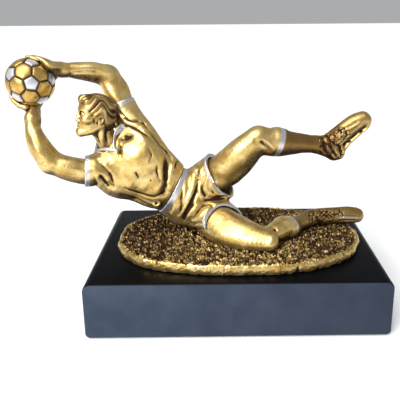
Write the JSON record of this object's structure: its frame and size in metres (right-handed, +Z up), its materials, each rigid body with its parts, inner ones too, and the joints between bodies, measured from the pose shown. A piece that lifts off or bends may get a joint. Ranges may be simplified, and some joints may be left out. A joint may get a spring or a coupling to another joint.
{
  "type": "figure trophy",
  "caption": "Trophy with a gold goalkeeper figure that dives on an oval of turf and catches a ball, on a black rectangular block.",
  "frame": {"origin": "centre of the felt pad's underside, below the middle of the block", "axes": "+X along the block towards the figure's raised boot, +Y from the front of the block to its back, +Z up"},
  "size_m": [0.2327, 0.11, 0.1629],
  "materials": {
    "black_lacquer": "fibreboard under black semi-gloss lacquer",
    "black_felt": "black felt",
    "zinc_steel": "zinc plated",
    "brass": "turned brass",
    "antique_gold": "cast resin under metallic gold paint with a dark brown wash in the hollows, silver-white trims",
    "turf_gold": "cast resin under metallic gold paint with a heavy dark brown wash",
    "ball_gold": "cast resin under metallic gold paint with silver-white five-sided panels"
  },
  "bodies": {
    "root": {"base_block": "black_lacquer", "felt_pad": "black_felt", "turf_plinth": "turf_gold", "fixing_screw_left": "zinc_steel", "fixing_screw_right": "zinc_steel", "washer_left": "zinc_steel", "washer_right": "zinc_steel", "threaded_insert_left": "brass", "threaded_insert_right": "brass", "torso_jersey": "antique_gold", "shorts": "antique_gold", "head": "antique_gold", "left_arm": "antique_gold", "right_arm": "antique_gold", "left_leg": "antique_gold", "right_leg": "antique_gold", "ball": "ball_gold", "neck_pin": "zinc_steel", "waist_pin_left": "zinc_steel", "waist_pin_right": "zinc_steel", "left_arm_pin": "zinc_steel", "right_arm_pin": "zinc_steel", "left_leg_pin": "zinc_steel", "right_leg_pin": "zinc_steel", "left_hand_pin": "zinc_steel", "right_hand_pin": "zinc_steel", "seat_pin": "zinc_steel", "thigh_pin": "zinc_steel", "boot_pin": "zinc_steel"}
  },
  "joints": []
}
